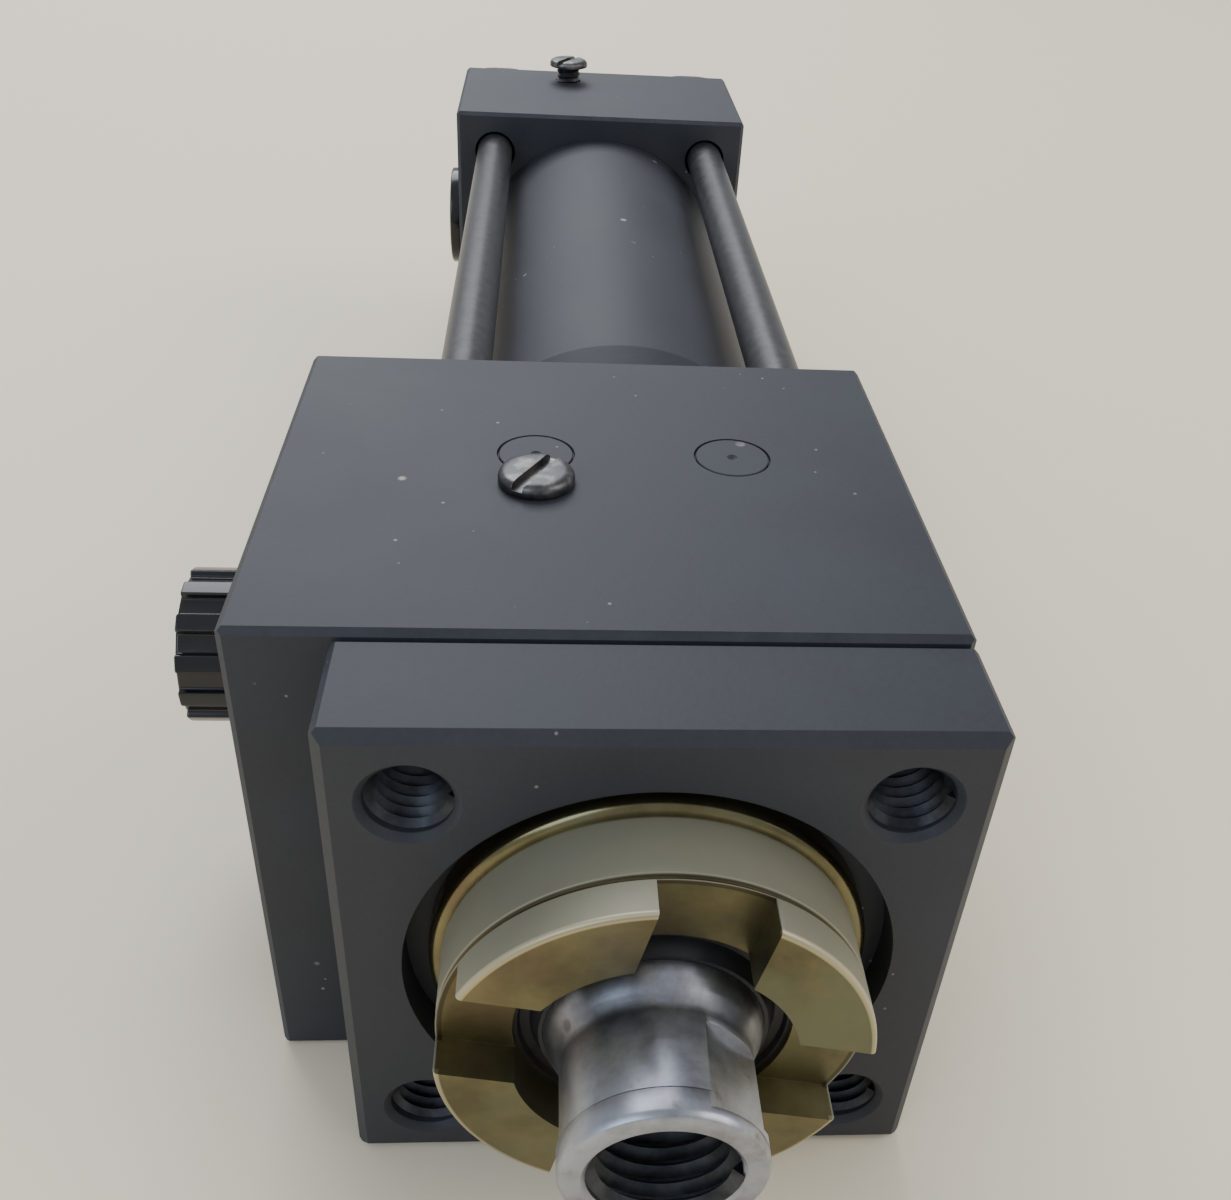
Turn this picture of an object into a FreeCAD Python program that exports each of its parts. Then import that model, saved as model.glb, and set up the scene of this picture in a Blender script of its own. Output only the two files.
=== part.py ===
"""Tie-rod hydraulic cylinder with adjustable end cushions, 32 mm bore, 80 mm stroke.

Frame: millimetres, +Z up. The rod lies along Y and points to -Y. The origin is on the rod axis,
at the front face of the front plate. The port side of the head is -X.
"""
import FreeCAD, Part
import math
import os

Vec = FreeCAD.Vector

# ---- overall sizes -------------------------------------------------------------------------
section = 45.0            # square section of the front plate and the rear cap
plate_thick = 10.0        # front plate, front to back
head_len = 44.0           # head block, front to back
head_rise = 0.5           # the head stands this much above the plate and the cap
port_pad = 7.7            # thickening of the head on its port side
cap_len = 29.5            # rear cap, front to back
stroke = 80.0             # travel of the rod
bore = 32.0               # inside of the barrel
tube_od = 38.0            # outside of the barrel
rod_dia = 15.4            # piston rod
tie_spacing = 33.2        # tie rods and mounting holes, centre to centre
rod_out = 16.0            # rod end in front of the plate with the rod drawn in

# ---- plate and mounting threads ------------------------------------------------------------
mount_thread = 6.0        # major diameter of the mounting threads and of the tie rod threads
mount_depth = 22.0        # free depth of each mounting thread, through the plate into the head
recess_gap = 1.75         # radial gap of the counterbore round the gland nut's collar
recess_depth = 3.0
tie_tap = 15.0            # thread of a tie rod in the rear of the head
plate_chamfer = 0.8       # edges round the front face of the plate
head_chamfer = 0.5        # edges round the front face of the head
edge_break = 0.5          # all the other edges of the blocks

# ---- gland ---------------------------------------------------------------------------------
nut_od = 30.2             # visible part of the gland nut
nut_collar = 0.95         # the seating collar stands this much above the nut, all round
nut_collar_len = 2.4      # the collar clamps the plate, on the floor of its recess
nut_out = 7.8             # front face of the nut in front of the plate
nut_crown = 2.9           # depth of the four driving slots
nut_chamfer = 0.35        # chamfer round the front face of the nut
nut_groove = 0.3          # depth of the fine groove behind the slots
slot_width = 8.0          # driving slots
slot_count = 4
slot_angle = 77.4         # angle of the first slot from +X
nut_bore = 19.6           # mouth of the nut, where the wiper sits
nut_thread = 28.0         # thread of the nut in the head
nut_thread_len = 14.0
pilot_dia = 25.0          # plain end of the nut, which carries its O-ring
pilot_len = 6.0
wiper_depth = 3.4         # front of the wiper below the face of the nut
wiper_len = 3.5
seal_od = 21.0            # rod seal
seal_len = 5.0
bush_wall = 1.6           # bronze guide bush
bush_len = 13.0
web = 7.0                 # plain wall between the wiper and the rod seal
oring_wire = 1.6          # section of the nut's O-ring

# ---- rod end -------------------------------------------------------------------------------
end_rim = 13.6            # collar at the end of the rod
end_neck = 13.2           # turned neck with the wrench flats
neck_len = 5.8
neck_back = 8.2           # rear of the neck, in front of the plate
neck_taper = 2.9          # cone from the neck to the full rod
flat_width = 12.0         # across the wrench flats
flat_angle = 40.5         # direction of one flat from +X
rod_thread = 10.0         # female thread, major diameter
rod_thread_depth = 14.0
rim_chamfer = 0.5
thread_mouth = 0.3        # chamfer of the rod's thread
flat_margin = 0.6         # plain neck left behind the flats

# ---- piston and cushions -------------------------------------------------------------------
piston_len = 18.0
end_gap = 0.25            # piston to head or cap at each end of the travel
piston_land = 0.05        # radial gap of the piston in the barrel
seal_play = 0.02          # radial gap of seals and guide rings on what slides in them
rod_play = 0.03           # radial gap of the rod in its bush
sleeve_dia = 18.0         # front cushion sleeve
sleeve_len = 18.0
sleeve_seat = 13.0        # rod under the sleeve
piston_seat = 11.0        # rod under the piston
stud_dia = 9.0            # threaded tail of the rod
stud_len = 9.0
spear_dia = 12.0          # rear cushion spear
spear_len = 17.0
cushion_gap = 0.1         # radial gap of sleeve and spear in their bores
cushion_land = 6.0        # length of the front cushion bore
rear_land = 7.5           # length of the rear cushion bore
front_chamber = 21.0      # annular space behind the gland
rear_chamber = 16.0
rear_chamber_len = 11.0
guide_groove = 1.5        # depth of the groove for the piston guide ring
guide_len = 4.0
packing_groove = 2.2      # depth of the groove for the piston seal
packing_len = 5.5

# ---- barrel and tie rods -------------------------------------------------------------------
tube_seat = 4.0           # depth of the barrel in the head and in the cap
tube_neck_od = 35.0       # turned ends of the barrel
tube_neck_len = 8.5       # neck that shows behind the head
tube_cone_len = 4.5       # cone from the neck to the full barrel
tube_cap_gap = 0.3        # the full barrel stops this short of the cap
gasket_thick = 1.0
tie_shank = 5.4           # rolled shank of a tie rod
tie_hole_gap = 0.1        # radial gap of the tie rod threads in the head and cap holes
tie_thread_len = 13.0     # rear thread
washer_od = 11.0
washer_thick = 1.0
nut_flats = 10.0
nut_height = 3.4
tie_stand_out = 2.0       # tie rod behind its nut

# ---- ports ---------------------------------------------------------------------------------
port_thread = 13.157      # G 1/4
front_port_y = 38.3
front_port_depth = 12.0
front_port_drill = 8.0
rear_port_from_cap = 18.9
rear_port_depth = 9.0
rear_port_drill = 7.0
thread_slack = 0.05       # radial gap of the plug threads
knob_dia = 14.8           # ribbed transit plug
knob_len = 10.0
knob_ribs = 12
rib_depth = 0.7
knob_stub = 9.0           # its thread in the port
washer_ring = 0.8         # thickness of the sealing washers
plug_flange = 16.0        # low screw plug of the rear port
plug_flange_len = 1.6
plug_stub = 7.0
plug_key = 6.0            # hexagon socket
plug_key_depth = 5.0

# ---- cushion needles, check valves and drillings -------------------------------------------
needle_head = 6.3
needle_head_len = 1.05
needle_head_round = 0.4
needle_slot = 1.0
needle_slot_depth = 0.6
needle_slot_angle = 59.7  # direction of the screwdriver slot from +X
needle_stem = 4.0         # threaded stem under the head
needle_neck = 2.7         # plain part of the stem, in its O-ring groove
needle_depth = 10.0       # stem bore below the face of the block
needle_tip = 1.8          # cone at the end of the stem
needle_lift = 0.15        # underside of the front needle's head above the block
rear_needle_lift = 2.35   # the same for the rear needle, which is set further out
needle_tip_gap = 0.2      # the tip clears its seat by this much
needle_seal_depth = 6.6   # middle of the O-ring below the head's underside
needle_seal_wire = 0.8
needle_slack = 0.05       # radial gap of the stem in its thread
front_needle = (-8.75, 30.6)
rear_needle = (-5.0, 23.0)  # x, and distance behind the front of the cap
drilling_plug = (-8.85, 35.3)
drilling_plug_body = 4.6  # body of the drilling plug, under its flush flange
drilling_flange = 1.0
check_x = 7.9
check_y = 35.4
plug_dia = 6.6            # flush plugs
plug_len = 4.0
check_cavity = 5.2
check_seat_z = 11.0       # distance of the ball seat from the rod axis
check_drill = 2.4
ball_dia = 4.0
ball_play = 0.05
ball_lift = 0.85          # free travel of the ball before the plug's nose stops it
nose_dia = 3.0
rear_check_from_cap = 15.5
centre_dot = 0.9          # centre mark on the flush plugs
flush_gap = 0.15          # fine ring gap round the flush plugs
drill = 1.6               # cross drillings
cross_drill = 12.3        # distance of the cross drillings from the rod axis

# ---- places along the rod axis -------------------------------------------------------------
half = section / 2
head_front = plate_thick
head_rear = head_front + head_len
head_seat = head_rear - tube_seat
cap_seat = head_seat + 2 * end_gap + stroke + piston_len
cap_front = cap_seat - tube_seat
cap_rear = cap_front + cap_len
piston_rear = cap_seat - end_gap
piston_front = piston_rear - piston_len
sleeve_front = piston_front - sleeve_len
nut_front = -nut_out
recess_dia = nut_od + 2 * (nut_collar + recess_gap)
nut_floor = nut_front + nut_crown
thread_end = head_front + nut_thread_len
pilot_end = thread_end + pilot_len
head_top = half + head_rise
port_face = -half - port_pad
rear_needle_y = cap_front + rear_needle[1]
rear_check_y = cap_front + rear_check_from_cap
tie_places = [(sx * tie_spacing / 2, sz * tie_spacing / 2) for sx in (-1, 1) for sz in (-1, 1)]
pieces = {}


# ---- solids lying along the axes -----------------------------------------------------------
def rod_y(dia, y0, y1, x=0.0, z=0.0):
    """Round bar along Y."""
    return Part.makeCylinder(dia / 2, y1 - y0, Vec(x, y0, z), Vec(0, 1, 0))


def ring_y(outer, inner, y0, y1, x=0.0, z=0.0):
    """Plain ring along Y."""
    return rod_y(outer, y0, y1, x, z).cut(rod_y(inner, y0 - 1, y1 + 1, x, z))


def rod_x(dia, x0, x1, y, z):
    """Round bar along X."""
    return Part.makeCylinder(dia / 2, x1 - x0, Vec(x0, y, z), Vec(1, 0, 0))


def rod_z(dia, z0, z1, x, y):
    """Round bar along Z."""
    return Part.makeCylinder(dia / 2, z1 - z0, Vec(x, y, z0), Vec(0, 0, 1))


def cone_y(d0, d1, y0, y1, x=0.0, z=0.0):
    """Cone frustum along Y, d0 at y0."""
    return Part.makeCone(d0 / 2, d1 / 2, y1 - y0, Vec(x, y0, z), Vec(0, 1, 0))


def block(x0, x1, y0, y1, z0, z1):
    """Rectangular block."""
    return Part.makeBox(x1 - x0, y1 - y0, z1 - z0, Vec(x0, y0, z0))


def turned(points):
    """Solid of revolution about the rod axis from (y, radius) points."""
    outline = [Vec(radius, y, 0) for y, radius in points]
    face = Part.Face(Part.makePolygon(outline + [outline[0]]))
    return face.revolve(Vec(0, 0, 0), Vec(0, 1, 0), 360)


def torus_y(mean_dia, wire, y, x=0.0, z=0.0):
    """O-ring about Y."""
    return Part.makeTorus(mean_dia / 2, wire / 2, Vec(x, y, z), Vec(0, 1, 0))


def hexagon(flats, height):
    """Hexagon prism standing on Z = 0."""
    corner = flats / math.sqrt(3)
    points = [Vec(corner * math.cos(math.radians(60 * i)), corner * math.sin(math.radians(60 * i)), 0)
              for i in range(7)]
    return Part.Face(Part.makePolygon(points)).extrude(Vec(0, 0, height))


def edges_at(solid, axis, place):
    """Edges that lie wholly in the plane where the axis has this value."""
    found = []
    for edge in solid.Edges:
        box = edge.BoundBox
        low = {"x": box.XMin, "y": box.YMin, "z": box.ZMin}[axis]
        high = {"x": box.XMax, "y": box.YMax, "z": box.ZMax}[axis]
        if abs(low - place) < 1e-6 and abs(high - place) < 1e-6:
            found.append(edge)
    return found


def broken_block(x0, x1, y0, y1, z0, z1, front, rest):
    """Block with one chamfer round its front face and a smaller one on its other edges."""
    whole = block(x0, x1, y0, y1, z0, z1)
    sides = whole.makeChamfer(rest, [e for e in whole.Edges if e.BoundBox.YLength > (y1 - y0) / 2])
    ends = whole.makeChamfer(front, edges_at(whole, "y", y0))
    ends = ends.makeChamfer(rest, edges_at(ends, "y", y1))
    return sides.common(ends)


def keep(name, *solids):
    """Hold the finished solids of one sub-part under its name."""
    pieces[name] = solids


# ---- front plate ---------------------------------------------------------------------------
def front_plate():
    plate = broken_block(-half, half, 0, plate_thick, -half, half, plate_chamfer, edge_break)
    plate = plate.cut(rod_y(recess_dia, -1, recess_depth))
    plate = plate.cut(rod_y(nut_thread + 2 * tie_hole_gap, -1, plate_thick + 1))
    for x, z in tie_places:
        plate = plate.cut(rod_y(mount_thread, -1, plate_thick + 1, x, z))
        mouth = cone_y(mount_thread + 2 * edge_break, mount_thread, 0, edge_break, x, z)
        plate = plate.cut(mouth)
    return plate


# ---- head block ----------------------------------------------------------------------------
def needle_bore():
    """What a needle's hole takes out of its block, about Z, with the face of the block at Z = 0."""
    radius = needle_stem / 2 + needle_slack
    hole = Part.makeCylinder(radius, needle_depth + 1, Vec(0, 0, -needle_depth))
    seat = Part.makeCone(drill / 2, radius, needle_tip, Vec(0, 0, -needle_depth - needle_tip))
    return hole.fuse(seat)


def head_block():
    head = broken_block(port_face, half, head_front, head_rear, -half, head_top, head_chamfer, edge_break)
    head = head.cut(rod_y(nut_thread, head_front - 1, thread_end))
    head = head.cut(rod_y(pilot_dia + 2 * seal_play, head_front, pilot_end))
    head = head.cut(rod_y(front_chamber, head_front, head_seat - cushion_land))
    head = head.cut(rod_y(sleeve_dia + 2 * cushion_gap, head_front, head_seat + 1))
    head = head.cut(rod_y(tube_neck_od, head_seat, head_rear + 1))
    for x, z in tie_places:
        head = head.cut(rod_y(mount_thread, head_front - 1, mount_depth, x, z))
        head = head.cut(cone_y(mount_thread, 0.5, mount_depth, mount_depth + 1.5, x, z))
        head = head.cut(rod_y(mount_thread, head_rear - tie_tap, head_rear + 1, x, z))
    head = head.cut(rod_x(port_thread, port_face - 1, port_face + front_port_depth, front_port_y, 0))
    head = head.cut(rod_x(front_port_drill, port_face, 0, front_port_y, 0))
    # the needle, its drilling down to the chamber and the drilling back to the barrel
    x, y = front_needle
    head = head.cut(stand(needle_bore(), x, y, head_top))
    head = head.cut(rod_z(drill, 0, head_top - needle_depth, x, y))
    head = head.cut(rod_y(drill, y, head_seat + 1, x, cross_drill))
    # the upright drilling that joins them, closed by a flush plug
    x, y = drilling_plug
    head = head.cut(rod_z(plug_dia, head_top - drilling_flange, head_top + 1, x, y))
    head = head.cut(rod_z(drilling_plug_body, head_top - plug_len, head_top, x, y))
    head = head.cut(rod_z(check_drill, cross_drill, head_top, x, y))
    # check valve bore, its seat and its drilling back to the barrel
    head = head.cut(rod_z(plug_dia, head_top - plug_len, head_top + 1, check_x, check_y))
    head = head.cut(rod_z(check_cavity, check_seat_z, head_top, check_x, check_y))
    head = head.cut(rod_z(check_drill, 0, check_seat_z + 1, check_x, check_y))
    head = head.cut(rod_y(drill, check_y, head_seat + 1, check_x, cross_drill))
    return head


# ---- gland ---------------------------------------------------------------------------------
def gland_nut():
    radius = nut_od / 2
    collar = radius + nut_collar
    collar_front = recess_depth - nut_collar_len
    groove = nut_floor + nut_groove
    outside = [(nut_front, nut_bore / 2), (nut_front, radius - nut_chamfer),
               (nut_front + nut_chamfer, radius), (nut_floor, radius),
               (groove, radius - nut_groove), (groove + nut_groove, radius),
               (collar_front, radius), (collar_front, collar), (recess_depth, collar),
               (recess_depth, nut_thread / 2), (thread_end - 0.3, nut_thread / 2),
               (thread_end - 0.3, pilot_dia / 2), (pilot_end - 0.2, pilot_dia / 2),
               (pilot_end - 0.2, nut_bore / 2)]
    nut = turned(outside)
    lip = [e for e in edges_at(nut, "y", collar_front) if abs(e.Length - 2 * math.pi * collar) < 0.01]
    nut = nut.makeFillet(nut_collar * 0.9, lip)
    # inside, from the front: wiper pocket, web, seal groove, bush seat, rear web
    core = ring_y(nut_bore + 1, rod_dia + 1, wiper_rear(), pilot_end - 0.2)
    core = core.cut(rod_y(seal_od, seal_front(), seal_front() + seal_len))
    core = core.cut(rod_y(rod_dia + 2 * bush_wall, seal_front() + seal_len, bush_rear()))
    nut = nut.cut(rod_y(seal_od, seal_front(), seal_front() + seal_len)).fuse(core)
    nut = nut.cut(ring_y(pilot_dia + 2, pilot_dia - 2 * oring_wire, oring_y() - oring_wire * 0.65,
                         oring_y() + oring_wire * 0.65))
    for i in range(slot_count):
        slot = block(0, radius + 2, nut_front - 1, nut_floor, -slot_width / 2, slot_width / 2)
        slot.rotate(Vec(0, 0, 0), Vec(0, 1, 0), -(slot_angle + 360.0 / slot_count * i))
        nut = nut.cut(slot)
    return nut.removeSplitter()


def wiper_front():
    return nut_front + wiper_depth


def wiper_rear():
    return wiper_front() + wiper_len


def seal_front():
    return wiper_rear() + web


def bush_rear():
    return seal_front() + seal_len + bush_len


def oring_y():
    return thread_end + pilot_len / 2


def wiper():
    rod = rod_dia / 2 + seal_play
    lip = 0.8
    return turned([(wiper_front() - lip, rod), (wiper_front() - lip, rod + 0.3),
                   (wiper_front() + 0.4, rod + 0.9), (wiper_front() + 0.4, nut_bore / 2 - 0.5),
                   (wiper_front(), nut_bore / 2 - 0.3), (wiper_front(), nut_bore / 2),
                   (wiper_rear(), nut_bore / 2), (wiper_rear(), rod)])


def rod_seal():
    rod = rod_dia / 2 + seal_play
    front = seal_front()
    rear = front + seal_len
    middle = (rod + seal_od / 2) / 2
    return turned([(front, rod), (front, seal_od / 2), (rear, seal_od / 2), (rear, middle + 0.5),
                   (rear - 1.6, middle), (rear, middle - 0.5), (rear, rod)])


# ---- piston rod, piston and cushion pieces -------------------------------------------------
def piston_rod():
    rod = rod_dia / 2
    rim = end_rim / 2
    neck = end_neck / 2
    neck_front = -neck_back - neck_len
    shaft = turned([(-rod_out, 0), (-rod_out, rim - rim_chamfer), (-rod_out + rim_chamfer, rim),
                    (neck_front, rim), (neck_front + (rim - neck), neck), (-neck_back, neck),
                    (-neck_back + neck_taper, rod), (sleeve_front, rod), (sleeve_front, sleeve_seat / 2),
                    (piston_front, sleeve_seat / 2), (piston_front, piston_seat / 2),
                    (piston_rear, piston_seat / 2), (piston_rear, stud_dia / 2),
                    (piston_rear + stud_len, stud_dia / 2), (piston_rear + stud_len, 0)])
    shaft = shaft.cut(rod_y(rod_thread, -rod_out - 1, -rod_out + rod_thread_depth))
    mouth = cone_y(rod_thread + 2 * thread_mouth, rod_thread, -rod_out, -rod_out + thread_mouth)
    drill_point = cone_y(rod_thread, 0.5, -rod_out + rod_thread_depth, -rod_out + rod_thread_depth + 3)
    shaft = shaft.cut(mouth).cut(drill_point)
    for side in (0, 180):
        flat = block(flat_width / 2, rod_dia, -rod_out + 2 * rim_chamfer, -neck_back - flat_margin,
                     -rod_dia, rod_dia)
        flat.rotate(Vec(0, 0, 0), Vec(0, 1, 0), -(flat_angle + side))
        shaft = shaft.cut(flat)
    return shaft


def piston():
    body = ring_y(bore - 2 * piston_land, piston_seat, piston_front, piston_rear)
    body = body.cut(ring_y(bore + 2, bore - 2 * guide_groove, guide_front(), guide_front() + guide_len))
    body = body.cut(ring_y(bore + 2, bore - 2 * packing_groove, packing_front(),
                           packing_front() + packing_len))
    return body


def guide_front():
    return piston_front + 2.5


def packing_front():
    return guide_front() + guide_len + 2.5


def cushion_sleeve():
    radius = sleeve_dia / 2
    return turned([(sleeve_front, sleeve_seat / 2), (sleeve_front, radius - 1.0),
                   (sleeve_front + 3.0, radius), (piston_front, radius),
                   (piston_front, sleeve_seat / 2)])


def cushion_spear():
    radius = spear_dia / 2
    rear = piston_rear + spear_len
    spear = turned([(piston_rear, 0), (piston_rear, radius), (rear - 4.0, radius),
                    (rear, radius - 1.5), (rear, 0)])
    return spear.cut(rod_y(stud_dia, piston_rear - 1, piston_rear + stud_len))


# ---- barrel, tie rods and their nuts -------------------------------------------------------
def barrel():
    neck = tube_neck_od / 2
    start = head_seat + gasket_thick
    end = cap_seat - gasket_thick
    cone = head_rear + tube_neck_len
    return turned([(start, bore / 2), (start, neck), (cone, neck), (cone + tube_cone_len, tube_od / 2),
                   (cap_front - tube_cap_gap, tube_od / 2), (cap_front - tube_cap_gap, neck),
                   (end, neck), (end, bore / 2)])


def tie_rod(x, z):
    rear = cap_rear + washer_thick + nut_height + tie_stand_out
    front_thread = rod_y(mount_thread, head_rear - tie_tap, head_rear, x, z)
    shank = rod_y(tie_shank, head_rear, rear - tie_thread_len, x, z)
    rear_thread = rod_y(mount_thread, rear - tie_thread_len, rear, x, z)
    return front_thread.fuse([shank, rear_thread]).removeSplitter()


def tie_nut(x, z):
    nut = hexagon(nut_flats, nut_height)
    crown = Part.makeCone(nut_flats / 2 + nut_height, nut_flats / 2, nut_height, Vec(0, 0, 0.2))
    nut = nut.common(crown.fuse(Part.makeCylinder(nut_flats, nut_height - 1)))
    nut = nut.cut(Part.makeCylinder(mount_thread / 2, nut_height + 2, Vec(0, 0, -1)))
    nut.rotate(Vec(0, 0, 0), Vec(1, 0, 0), -90)
    nut.translate(Vec(x, cap_rear + washer_thick, z))
    return nut


def tie_washer(x, z):
    return ring_y(washer_od, mount_thread + 2 * tie_hole_gap, cap_rear, cap_rear + washer_thick, x, z)


# ---- rear cap ------------------------------------------------------------------------------
def rear_cap():
    cap = broken_block(-half, half, cap_front, cap_rear, -half, half, edge_break, edge_break)
    cap = cap.cut(rod_y(tube_neck_od, cap_front - 1, cap_seat))
    cap = cap.cut(rod_y(spear_dia + 2 * cushion_gap, cap_seat - 1, cap_seat + rear_land))
    chamber_end = cap_seat + rear_land + rear_chamber_len
    cap = cap.cut(rod_y(rear_chamber, cap_seat + rear_land, chamber_end))
    for x, z in tie_places:
        cap = cap.cut(rod_y(mount_thread + 2 * tie_hole_gap, cap_front - 1, cap_rear + 1, x, z))
    cap = cap.cut(rod_x(port_thread, -half - 1, -half + rear_port_depth, rear_port_y(), 0))
    cap = cap.cut(rod_x(rear_port_drill, -half, 0, rear_port_y(), 0))
    x = rear_needle[0]
    cap = cap.cut(stand(needle_bore(), x, rear_needle_y, half))
    cap = cap.cut(rod_z(drill, 0, half - needle_depth, x, rear_needle_y))
    cap = cap.cut(rod_y(drill, cap_seat - 1, rear_needle_y, x, cross_drill))
    cap = cap.cut(rod_x(plug_dia, half - plug_len, half + 1, rear_check_y, 0))
    cap = cap.cut(rod_x(check_cavity, check_seat_z, half, rear_check_y, 0))
    cap = cap.cut(rod_x(check_drill, 0, check_seat_z + 1, rear_check_y, 0))
    cap = cap.cut(rod_y(drill, cap_seat - 1, rear_check_y, cross_drill, 0))
    return cap


def rear_port_y():
    return cap_front + rear_port_from_cap


# ---- port plugs ----------------------------------------------------------------------------
def ribbed_knob():
    """Transit plug of the front port, standing on Z = 0 with its thread below."""
    knob = Part.makeCylinder(knob_dia / 2 - rib_depth, knob_len)
    rib_width = math.pi * knob_dia / knob_ribs / 2
    for i in range(knob_ribs):
        rib = block(0, knob_dia / 2, -rib_width / 2, rib_width / 2, 0, knob_len - 0.6)
        rib.rotate(Vec(0, 0, 0), Vec(0, 0, 1), 360.0 / knob_ribs * i)
        knob = knob.fuse(rib)
    stub = Part.makeCylinder(port_thread / 2 - thread_slack, knob_stub + washer_ring,
                             Vec(0, 0, -knob_stub - washer_ring))
    knob = knob.fuse(stub).removeSplitter()
    hollow = Part.makeCylinder(port_thread / 2 - 2.0, knob_stub, Vec(0, 0, -knob_stub - washer_ring))
    return knob.cut(hollow)


def low_plug():
    """Screw plug of the rear port, standing on Z = 0 with its thread below."""
    flange = Part.makeCylinder(plug_flange / 2, plug_flange_len)
    flange = flange.makeChamfer(0.4, edges_at(flange, "z", plug_flange_len))
    stub = Part.makeCylinder(port_thread / 2 - thread_slack, plug_stub + washer_ring,
                             Vec(0, 0, -plug_stub - washer_ring))
    socket = hexagon(plug_key, plug_key_depth)
    socket.translate(Vec(0, 0, plug_flange_len - plug_key_depth))
    return flange.fuse(stub).cut(socket).removeSplitter()


def to_port(solid, face_x, y):
    """Lay a plug made on Z against a port face on the -X side."""
    solid.rotate(Vec(0, 0, 0), Vec(0, 1, 0), -90)
    solid.translate(Vec(face_x - washer_ring, y, 0))
    return solid


def port_washer(face_x, y, outer):
    ring = rod_x(outer, face_x - washer_ring, face_x, y, 0)
    return ring.cut(rod_x(port_thread, face_x - washer_ring - 1, face_x + 1, y, 0))


# ---- cushion needles and check valves ------------------------------------------------------
def needle():
    """Cushion needle pointing up, with the underside of its head at Z = 0."""
    head = Part.makeCylinder(needle_head / 2, needle_head_len)
    head = head.makeFillet(needle_head_round, edges_at(head, "z", needle_head_len))
    stem_end = needle_tip_gap - needle_depth - needle_lift
    stem = Part.makeCylinder(needle_stem / 2, -stem_end, Vec(0, 0, stem_end))
    tip_len = needle_tip - 0.6
    tip = Part.makeCone(0.3, needle_neck / 2, tip_len, Vec(0, 0, stem_end - tip_len))
    groove_end = -needle_seal_depth - needle_seal_wire / 2
    groove = Part.makeCylinder(needle_stem, needle_seal_wire, Vec(0, 0, groove_end))
    groove = groove.cut(Part.makeCylinder(needle_neck / 2, 30, Vec(0, 0, -20)))
    slot_floor = needle_head_len - needle_slot_depth
    slot = block(-needle_head, needle_head, -needle_slot / 2, needle_slot / 2, slot_floor, slot_floor + 3)
    slot.rotate(Vec(0, 0, 0), Vec(0, 0, 1), needle_slot_angle)
    return head.fuse([stem, tip]).removeSplitter().cut(groove).cut(slot)


def needle_ring():
    """O-ring of a needle, in the needle's own frame."""
    wire = needle_stem / 2 - needle_neck / 2
    return Part.makeTorus((needle_neck + wire) / 2, wire / 2 - seal_play / 2, Vec(0, 0, -needle_seal_depth))


def stand(solid, x, y, z):
    """Move a piece made about Z to its place."""
    solid.translate(Vec(x, y, z))
    return solid


def flush_plug(length):
    """Flush plug hanging below Z = 0, with a fine ring gap and a centre mark."""
    plug = Part.makeCylinder(plug_dia / 2, length, Vec(0, 0, -length))
    rim = Part.makeCylinder(plug_dia / 2 + 1, 2 * flush_gap, Vec(0, 0, -2 * flush_gap))
    rim = rim.cut(Part.makeCylinder(plug_dia / 2 - flush_gap, 1, Vec(0, 0, -0.5)))
    mark = Part.makeCone(0, centre_dot / 2, centre_dot / 2, Vec(0, 0, -centre_dot / 2))
    return plug.cut(rim).cut(mark)


def closing_plug():
    """Flanged plug of the upright drilling, cut away beside the needle."""
    body = Part.makeCylinder(drilling_plug_body / 2, plug_len, Vec(0, 0, -plug_len))
    plug = flush_plug(drilling_flange).fuse(body).removeSplitter()
    aside = Vec(front_needle[0] - drilling_plug[0], front_needle[1] - drilling_plug[1], -plug_len - 1)
    mark = Part.makeCone(0, centre_dot / 2, centre_dot / 2, Vec(0, 0, -centre_dot / 2))
    return plug.cut(Part.makeCylinder(needle_stem / 2 + 2 * flush_gap, plug_len + 2, aside)).cut(mark)


def check_plug(block_face):
    """Flush plug of a check valve, whose nose limits the ball's travel."""
    top = block_face - check_seat_z
    nose_end = ball_crest() + ball_lift
    nose = Part.makeCylinder(nose_dia / 2, top - plug_len - nose_end, Vec(0, 0, nose_end - top))
    return flush_plug(plug_len).fuse(nose).removeSplitter()


def check_ball():
    """Ball on its seat; the seat edge is at Z = 0."""
    return Part.makeSphere(ball_dia / 2, Vec(0, 0, ball_crest() - ball_dia / 2))


def ball_crest():
    """Top of the seated ball above the seat edge."""
    rise = math.sqrt((ball_dia / 2) ** 2 - (check_drill / 2) ** 2)
    return rise + ball_play + ball_dia / 2


def to_side(solid, x, y):
    """Turn a valve piece made on Z to point to +X."""
    solid.rotate(Vec(0, 0, 0), Vec(0, 1, 0), 90)
    solid.translate(Vec(x, y, 0))
    return solid


# ---- the parts list ------------------------------------------------------------------------
keep("front_plate", front_plate())
keep("head_block", head_block())
keep("gland_nut", gland_nut())
keep("gland_o_ring", torus_y(pilot_dia - oring_wire, oring_wire - 2 * seal_play, oring_y()))
keep("gland_bush", ring_y(rod_dia + 2 * bush_wall, rod_dia + 2 * rod_play,
                          seal_front() + seal_len, bush_rear()))
keep("wiper", wiper())
keep("rod_seal", rod_seal())
keep("piston_rod", piston_rod())
keep("piston", piston())
keep("front_cushion_sleeve", cushion_sleeve())
keep("rear_cushion_spear", cushion_spear())
keep("piston_guide_ring", ring_y(bore - 2 * seal_play, bore - 2 * guide_groove + 2 * seal_play,
                                 guide_front() + seal_play, guide_front() + guide_len - seal_play))
keep("piston_seal", ring_y(bore - 2 * seal_play, bore - 2 * packing_groove + 2 * seal_play,
                           packing_front() + seal_play, packing_front() + packing_len - seal_play))
keep("barrel", barrel())
keep("front_barrel_gasket", ring_y(tube_neck_od, bore, head_seat, head_seat + gasket_thick))
keep("rear_barrel_gasket", ring_y(tube_neck_od, bore, cap_seat - gasket_thick, cap_seat))
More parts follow.
